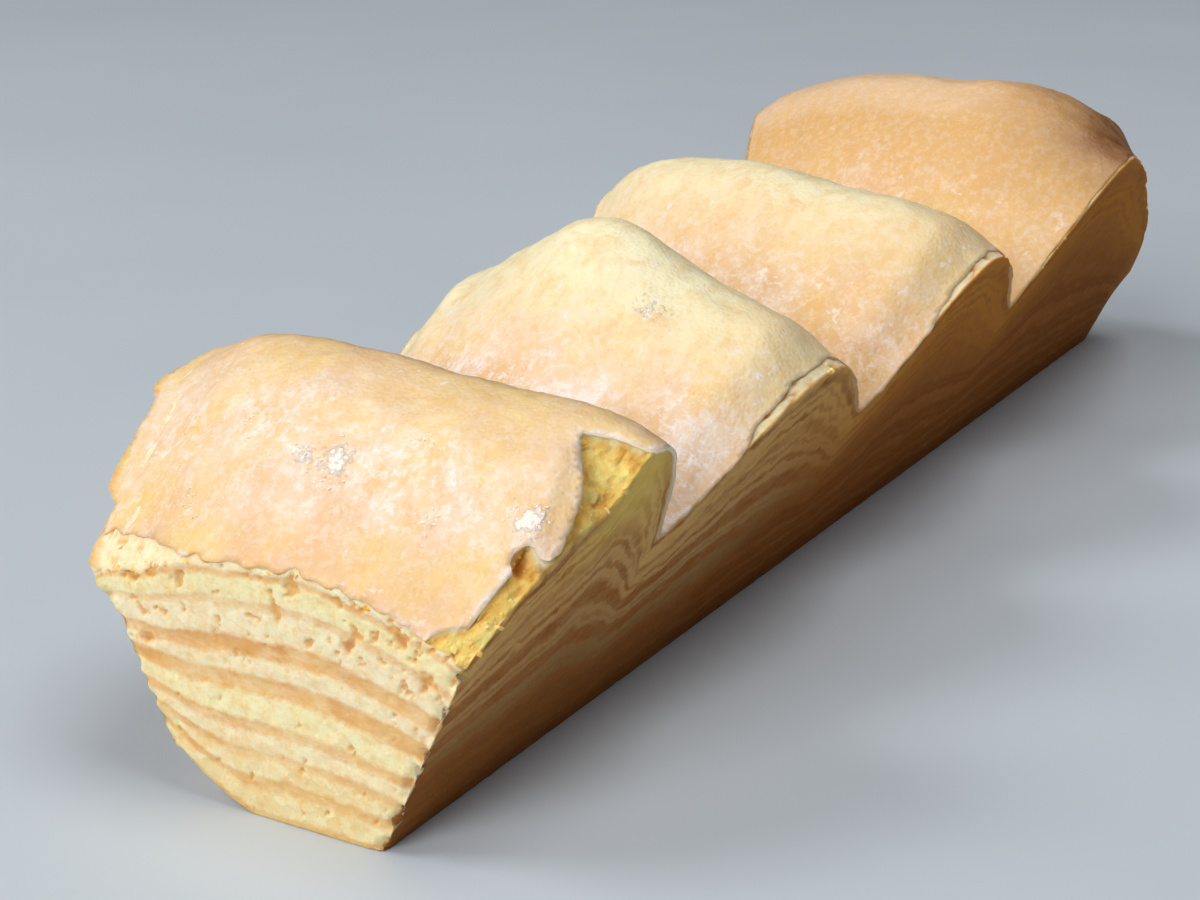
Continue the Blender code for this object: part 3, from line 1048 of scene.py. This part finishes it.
def glaze_tints(angle, along):
    """What the glaze's material reads at a place: how strong each of its tints is there."""
    degrees = math.degrees(angle)
    station = min(max(along, 0), LENGTH)
    ridge = RIDGES[max(sum(station > r.valley for r in RIDGES) - 1, 0)]
    crest = rise(ridge_radius(station), ridge.low, ridge.high - ridge.low)
    right = rise(degrees, 8, 16)
    bark = max(
        rise(along, BARK_END[0] - 14 * MM * right, BARK_END[1]),
        0.42 * bell(along - BARK_RIM[0], BARK_RIM[1]),
        1.2 * rise(degrees, 4, 21) * rise(along, *BARK_RIGHT),
    )
    frost = 0.85 * bell(along - FIRST_FROST[0], FIRST_FROST[1])
    frost *= 1 - 0.5 * right + 0.35 * rise(-degrees, 6, 14)
    valleys = sum(
        white * bell(along - ridge.valley - 6 * MM, 8 * MM)
        for white, ridge in zip(VALLEY_FROST, RIDGES)
    )
    frost = max(frost, valleys) * fade(along, 150 * MM, 30 * MM)
    rim = fade(glaze_reach(angle, along), 1.2 * MM, MM) * fade(station, 23 * MM, 2 * MM)
    return {
        "crest": crest,
        "butter": crest**1.5 * (1 - 0.6 * rise(degrees, 10, 12))
        * sum(bell(along - place, width) for place, width in PALE_CRESTS),
        "amber": sum(0.5 * rise(along, *step) for step in AMBER_STEPS),
        "bark": bark,
        "frost": max(frost, 1.3 * rim * rise(degrees, 14, 4)),
        "sugar": sugar_cluster(angle, along),
    }


def glaze_sheet(settings):
    """The glaze as a flat sheet of angles (x) and places along (y), cut out along its edge."""
    margin = 2.0 * MM / VALLEY_RADIUS
    fine = settings.cell / EDGE_RADIUS
    columns = spread(-LEFT_ANGLE - margin, RIGHT_ANGLE + margin, fine * 1.1, fine * 0.9)
    places = spread(-0.5 * MM, LENGTH, settings.cell * 0.85, settings.far_cell)
    bm = sheet_grid(columns, places)
    reach = {vertex: glaze_reach(vertex.co.x, vertex.co.y) for vertex in bm.verts}
    gone = [f for f in bm.faces if sum(reach[v] for v in f.verts) < 0]
    bmesh.ops.delete(bm, geom=gone, context="FACES")
    for vertex in bm.verts:
        if vertex.is_boundary:
            vertex.co.x, vertex.co.y = snap_to_edge(vertex.co.x, vertex.co.y)
    return bm


def thicken(bm, thickness):
    """Gives the sheet an underside, and a rim with the second material."""
    bm.normal_update()
    if sum(v.normal.z for v in bm.verts) < 0:
        bmesh.ops.reverse_faces(bm, faces=bm.faces[:])
        bm.normal_update()
    lowered = {tuple(v.co): v.co - v.normal * thickness for v in bm.verts}
    upper = set(bm.verts)
    below = bmesh.ops.extrude_face_region(bm, geom=bm.faces[:])["geom"]
    for item in below:
        if isinstance(item, bmesh.types.BMVert):
            item.co = lowered[tuple(item.co)]
    for face in bm.faces:
        shared = sum(v in upper for v in face.verts)
        face.material_index = 1 if 0 < shared < len(face.verts) else 0
    bmesh.ops.recalc_face_normals(bm, faces=bm.faces[:])


def glaze_mesh(settings):
    """The glaze: a thin closed skin that follows the crust and ends in a broken edge."""
    bm = glaze_sheet(settings)
    names = ("crest", "butter", "amber", "bark", "frost", "sugar", "groove")
    layers = {name: bm.verts.layers.float.new(name) for name in names}
    for vertex in bm.verts:
        angle, along = vertex.co.x, vertex.co.y
        station = min(max(along, 0), LENGTH)
        radius = glaze_surface(angle, station)
        crust = radius + GLAZE_SUNK
        spot = Vector((angle * crust, along, 0))
        values = glaze_tints(angle, along)
        from_left = (angle + LEFT_ANGLE) * crust + crags(station) + 0.6 * MM * lumps(spot, 3 * MM)
        groove = bell(from_left - GROOVE_SET_BACK, 0.8 * MM) * fade(station, 21 * MM, 4 * MM)
        for name, value in {**values, "groove": groove}.items():
            vertex[layers[name]] = value
        radius += settings.grit * (lumps(spot, 1.5 * MM) + 0.7 * lumps(spot, 0.7 * MM))
        radius += HEAP * values["sugar"] * max(lumps(spot, 1.1 * MM) + 0.35, 0)
        radius -= GROOVE_DEPTH * groove
        vertex.co = on_spit(angle, along + lag_at(angle, station), radius)
    thicken(bm, settings.thickness)
    return bm


def glaze_material(settings):
    gold, peach, pale, butter = tints(settings, "gold", "peach", "crest", "butter")
    amber, rose, honey, bark = tints(settings, "amber", "rose", "honey", "bark")
    frost, flake = tints(settings, "frost", "flaky")
    paint = Paint("sugar_glaze", 0.5)
    crest, frosted, far = (paint.attribute(name) for name in ("crest", "frost", "amber"))
    down = (1.0, 0.85, 0.85)
    tilt = paint.sum(paint.times(frosted, 0.10), paint.times(crest, -0.07))
    patches = paint.span(paint.sum(paint.cloud(6.5 * MM, 4, 0.56, 0.2, down), tilt), 0.36, 0.64)
    body = paint.mix(patches, gold, peach)
    # Painted highlight: lighter towards each crest
    body = paint.mix(paint.times(crest, 0.25), body, pale)
    body = paint.mix(paint.times(far, 0.85), body, amber)
    body = paint.mix(paint.times(paint.attribute("butter"), 0.85), body, butter)
    on_last = paint.times(paint.span(far, 0.5, 1.0), paint.span(crest, 0.90, 1.0, 0, 0.6))
    left = paint.span(paint.coordinate("X"), 2 * MM, 16 * MM, 1.0, 0.2)
    body = paint.mix(paint.times(on_last, left), body, rose)
    clear = paint.span(paint.cloud(2.6 * MM, 6, 0.72, 0.4, down), 0.44, 0.70, 0, 0.55)
    clear = paint.most(clear, paint.times(paint.attribute("groove"), 0.3))
    body = paint.mix(clear, body, honey)
    film = paint.span(paint.cloud(4.6 * MM, 4, 0.58, 0.2, down), 0.40, 0.62)
    flecks = paint.span(paint.cloud(1.0 * MM, 6, 0.75, 0.2), 0.47, 0.60)
    spots = paint.span(paint.cloud(2.8 * MM, 6, 0.72, 0.3), 0.60, 0.66)
    spots = paint.times(spots, paint.span(far, 0.4, 1.0, 0.75, 0.15))
    drifts = paint.span(paint.cloud(9 * MM, 3, 0.6, 0.5), 0.42, 0.60, 0.40, 1.2)
    dried = paint.times(frosted, paint.sum(paint.times(film, 0.55), paint.times(flecks, 0.40)))
    dried = paint.most(paint.times(dried, drifts), spots)
    dried = paint.sum(dried, paint.times(flecks, 0.16))
    flaky = paint.sum(paint.cloud(0.9 * MM, 5, 0.7), paint.times(paint.cells(0.6 * MM), -0.35))
    flaky = paint.sum(paint.times(paint.attribute("sugar"), 0.75), flaky)
    flaky = paint.span(flaky, 0.65, 0.85)
    body = paint.mix(dried, body, frost)
    body = paint.mix(paint.times(flaky, 0.85), body, flake)
    burnt = paint.span(paint.cloud(7 * MM, 5, 0.6), 0.30, 0.65, 0.45, 1.0)
    burnt = paint.times(paint.attribute("bark"), burnt)
    paint.set("Base Color", paint.mix(paint.times(burnt, 0.90), body, bark))
    paint.set("Specular IOR Level", 0.4)
    wrinkle = paint.bump(paint.cloud(2.2 * MM, 6, 0.65, 0.3, down), 0.26 * MM, 0.6)
    grit = paint.sum(paint.span(paint.cells(0.55 * MM), 0.0, 0.6), paint.times(dried, 0.8))
    raised = paint.bump(flaky, 0.18 * MM, 0.8, wrinkle)
    paint.set("Normal", paint.bump(grit, 0.06 * MM, 0.6, raised))
    return paint.material


def glaze_edge_material(settings):
    """The glaze where it is broken through, paler by the torn place."""
    edge, pale_edge = tints(settings, "edge", "pale_edge")
    paint = Paint("broken_glaze", 0.4)
    by_torn = paint.span(paint.coordinate("X"), 10 * MM, 22 * MM)
    by_torn = paint.times(by_torn, paint.span(paint.coordinate("Y"), -68 * MM, -60 * MM, 1.0, 0.0))
    paint.set("Base Color", paint.mix(by_torn, edge, pale_edge))
    paint.set("Specular IOR Level", 0.15)
    paint.set("Normal", paint.bump(paint.cloud(0.5 * MM), 0.1 * MM, 0.5))
    return paint.material


# ---- Sugar and crumbs ----


def grains(bm, places, sizes, rng, roughness, flatness, tilt):
    """Joins one rough grain at each place: an icosphere, squashed, turned and knocked about."""
    for place, size in zip(places, sizes):
        outward = Vector((place.x, 0, place.z + AXIS_DEPTH))
        jitter = Vector((rng.gauss(0, 1), rng.gauss(0, 1), rng.gauss(0, 1)))
        outward += jitter * tilt * outward.length
        lying = outward.to_track_quat("Z", "Y").to_matrix().to_4x4()
        turn = Matrix.Rotation(rng.uniform(0, math.tau), 4, "Z")
        squash = Matrix.Diagonal(
            (rng.uniform(0.8, 1.4), rng.uniform(0.5, 1.0), rng.uniform(*flatness), 1)
        )
        matrix = Matrix.Translation(place) @ lying @ turn @ squash
        made = bmesh.ops.create_icosphere(bm, subdivisions=1, radius=size / 2, matrix=matrix)
        for vertex in made["verts"]:
            vertex.co += (vertex.co - place) * rng.uniform(-roughness, roughness)


def sugar_mesh(settings):
    """Sugar grains on the glaze, thick in the clusters and few between them."""
    rng = random.Random(SUGAR_SEED)
    bm = bmesh.new()
    places, sizes = [], []
    for _ in range(settings.sugar):
        pick = rng.random()
        for cluster in SUGAR:
            pick -= cluster.share
            if pick < 0:
                break
        if pick < 0:
            angle = math.radians(cluster.angle + rng.gauss(0, 1) * cluster.spread)
            along = (cluster.along + rng.gauss(0, 0.8) * cluster.spread) * MM
            size = settings.sugar_size * rng.uniform(0.7, 1.9)
        else:
            angle = rng.uniform(-0.93 * LEFT_ANGLE, 0.9 * RIGHT_ANGLE)
            along = rng.uniform(0, 1) ** 1.4 * 130 * MM
            size = settings.sugar_size * rng.uniform(0.4, 1.0)
        if glaze_reach(angle, along) < 0.4 * MM:
            continue
        radius = glaze_surface(angle, along) - size * 0.04
        places.append(on_spit(angle, along + lag_at(angle, along), radius))
        sizes.append(size)
    grains(bm, places, sizes, rng, 0.3, (0.25, 0.45), 0.12)
    return bm


def crumb_mesh(settings, sponge):
    """Crumbs on the sponge where it is torn, and here and there along its edges."""
    rng = random.Random(CRUMB_SEED)
    bm = bmesh.new()
    mesh = sponge.data
    bare = mesh.attributes["bare"].data
    widest = CAD_BOX[1][0] - CRUMBS_INSIDE
    torn = [
        v for v in mesh.vertices
        if bare[v.index].value > 0.5 and v.co.y < CRUMBS_END and abs(v.co.x) < widest
    ]
    places, sizes = [], []
    for _ in range(settings.crumbs):
        vertex = rng.choice(torn)
        size = settings.crumb_size * rng.uniform(0.4, 1.3)
        places.append(vertex.co - vertex.normal * size * 0.28)
        sizes.append(size)
    grains(bm, places, sizes, rng, 0.35, (0.5, 1.0), 0.8)
    return bm


def sugar_material(settings):
    white, cream = tints(settings, "white", "cream")
    paint = Paint("sugar_grains", 0.35)
    paint.set("Base Color", paint.mix(paint.cloud(1 * MM), white, cream))
    paint.set("Normal", paint.bump(paint.cloud(0.2 * MM), 0.03 * MM, 0.5))
    return paint.material


def crumb_material(settings):
    yolk, orange, butter = tints(settings, "yolk", "orange", "butter")
    paint = Paint("loose_crumbs", 0.9)
    body = paint.mix(paint.span(paint.cloud(2 * MM, 3), 0.3, 0.7), yolk, orange)
    pale = paint.span(paint.cloud(0.6 * MM, 3), 0.5, 0.8, 0, 0.5)
    paint.set("Base Color", paint.mix(pale, body, butter))
    paint.set("Normal", paint.bump(paint.cloud(0.3 * MM, 4), 0.1 * MM, 0.8))
    return paint.material


# ---- Operators ----


class BAUMKUCHEN_OT_sponge(bpy.types.Operator):
    """Models the sponge, which takes the CAD solid's place"""

    bl_idname = "baumkuchen.sponge"
    bl_label = "Sponge"

    def execute(self, context):
        remove_object("sponge")
        settings = context.scene.cake_sponge
        piece = new_piece(sponge_mesh(settings), "sponge", sponge_material(settings))
        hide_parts(CAKE_NODE)
        return {"FINISHED"}


class BAUMKUCHEN_OT_glaze(bpy.types.Operator):
    """Models the thin skin of sugar glaze with its broken edge"""

    bl_idname = "baumkuchen.glaze"
    bl_label = "Glaze"

    def execute(self, context):
        remove_object("glaze")
        settings = context.scene.cake_glaze
        materials = glaze_material(settings), glaze_edge_material(settings)
        new_piece(glaze_mesh(settings), "glaze", *materials)
        return {"FINISHED"}


class BAUMKUCHEN_OT_sugar(bpy.types.Operator):
    """Strews sugar grains on the glaze"""

    bl_idname = "baumkuchen.sugar"
    bl_label = "Sugar grains"

    def execute(self, context):
        remove_object("sugar")
        settings = context.scene.cake_grains
        new_piece(sugar_mesh(settings), "sugar", sugar_material(settings), smooth=False)
        return {"FINISHED"}


class BAUMKUCHEN_OT_crumbs(bpy.types.Operator):
    """Strews crumbs over the torn places of the sponge"""

    bl_idname = "baumkuchen.crumbs"
    bl_label = "Crumbs"

    def execute(self, context):
        remove_object("crumbs")
        bm = crumb_mesh(context.scene.cake_grains, bpy.data.objects["sponge"])
        new_piece(bm, "crumbs", crumb_material(context.scene.cake_sponge), smooth=False)
        return {"FINISHED"}


Lamp = namedtuple("Lamp", "name size place")
LAMPS = (
    Lamp("key", 0.65, (-0.98, -0.60, 1.20)),
    Lamp("fill", 0.95, (-0.05, -1.66, 0.98)),
    Lamp("top", 1.20, (0.65, 0.10, 2.00)),
)
LIT_PLACE = (0, 0, 15 * MM)

# How far the camera is turned from looking along the spit, looks down, and rolls, in degrees
CAMERA_ANGLES = (31.31, 19.14, -0.85)
CAMERA_PLACE = (115.93 * MM, -228.75 * MM, 96.26 * MM)


class BAUMKUCHEN_OT_stage(bpy.types.Operator):
    """Sets up the floor, the soft light and the camera"""

    bl_idname = "baumkuchen.stage"
    bl_label = "Stage"

    def execute(self, context):
        settings = context.scene.cake_stage
        for name in ("floor", "camera", *(lamp.name for lamp in LAMPS)):
            remove_object(name)
        self.floor(settings)
        for lamp in LAMPS:
            self.area_light(lamp, getattr(settings, lamp.name))
        self.sky(context.scene, settings)
        self.camera(context.scene, settings)
        context.scene.view_settings.view_transform = "Standard"
        return {"FINISHED"}

    def floor(self, settings):
        bm = bmesh.new()
        bmesh.ops.create_grid(bm, x_segments=8, y_segments=8, size=3)
        paint = Paint("floor_paint", 0.6)
        tone = paint.span(paint.cloud(90 * MM, 3), 0.3, 0.7, 0, 0.12)
        paint.set("Base Color", paint.mix(tone, *tints(settings, "floor", "cloudy")))
        new_object(bm, "floor", paint.material, smooth=False)

    def area_light(self, lamp, energy):
        data = bpy.data.lights.new(lamp.name, "AREA")
        data.energy = energy
        data.size = lamp.size
        light = bpy.data.objects.new(lamp.name, data)
        light.location = lamp.place
        aim = Vector(LIT_PLACE) - light.location
        light.rotation_euler = aim.to_track_quat("-Z", "Y").to_euler()
        bpy.context.scene.collection.objects.link(light)

    def sky(self, scene, settings):
        world = bpy.data.worlds.new("sky")
        world.use_nodes = True
        background = world.node_tree.nodes["Background"]
        background.inputs["Color"].default_value = tuple(settings.sky_tint)
        background.inputs["Strength"].default_value = settings.sky
        scene.world = world

    def camera(self, scene, settings):
        data = bpy.data.cameras.new("camera")
        data.sensor_width = 36
        data.lens = settings.lens
        data.clip_start = 0.01
        turn, rise, roll = (math.radians(angle) for angle in CAMERA_ANGLES)
        look = Vector((
            -math.sin(turn) * math.cos(rise), math.cos(turn) * math.cos(rise), -math.sin(rise)
        ))
        level = Vector((math.cos(turn), math.sin(turn), 0))
        over = level.cross(look)
        right = math.cos(roll) * level + math.sin(roll) * over
        up = math.cos(roll) * over - math.sin(roll) * level
        camera = bpy.data.objects.new("camera", data)
        pose = Matrix((right, up, -look)).transposed().to_4x4()
        pose.translation = Vector(CAMERA_PLACE)
        camera.matrix_world = pose
        scene.collection.objects.link(camera)
        scene.camera = camera


class BAUMKUCHEN_PT_pieces(bpy.types.Panel):
    """Lists the pieces of the cake"""

    bl_idname = "BAUMKUCHEN_PT_pieces"
    bl_label = "Baumkuchen"
    bl_space_type = "VIEW_3D"
    bl_region_type = "UI"
    bl_category = "Baumkuchen"

    def draw(self, context):
        for operator, group in PIECES:
            self.layout.operator(operator.bl_idname)
            settings = getattr(context.scene, group)
            for name in settings.__annotations__:
                self.layout.prop(settings, name)


PIECES = (
    (BAUMKUCHEN_OT_sponge, "cake_sponge"),
    (BAUMKUCHEN_OT_glaze, "cake_glaze"),
    (BAUMKUCHEN_OT_sugar, "cake_grains"),
    (BAUMKUCHEN_OT_crumbs, "cake_grains"),
    (BAUMKUCHEN_OT_stage, "cake_stage"),
)
GROUPS = {
    "cake_sponge": SpongeSettings,
    "cake_glaze": GlazeSettings,
    "cake_grains": GrainSettings,
    "cake_stage": StageSettings,
}


def register():
    for name, group in GROUPS.items():
        bpy.utils.register_class(group)
        setattr(bpy.types.Scene, name, PointerProperty(type=group))
    for operator, _ in PIECES:
        bpy.utils.register_class(operator)
    bpy.utils.register_class(BAUMKUCHEN_PT_pieces)


def unregister():
    bpy.utils.unregister_class(BAUMKUCHEN_PT_pieces)
    for operator, _ in reversed(PIECES):
        bpy.utils.unregister_class(operator)
    for name, group in GROUPS.items():
        delattr(bpy.types.Scene, name)
        bpy.utils.unregister_class(group)


def main():
    register()
    bpy.ops.baumkuchen.sponge()
    bpy.ops.baumkuchen.glaze()
    bpy.ops.baumkuchen.sugar()
    bpy.ops.baumkuchen.crumbs()
    bpy.ops.baumkuchen.stage()
    bpy.context.view_layer.update()


if __name__ == "__main__":
    main()
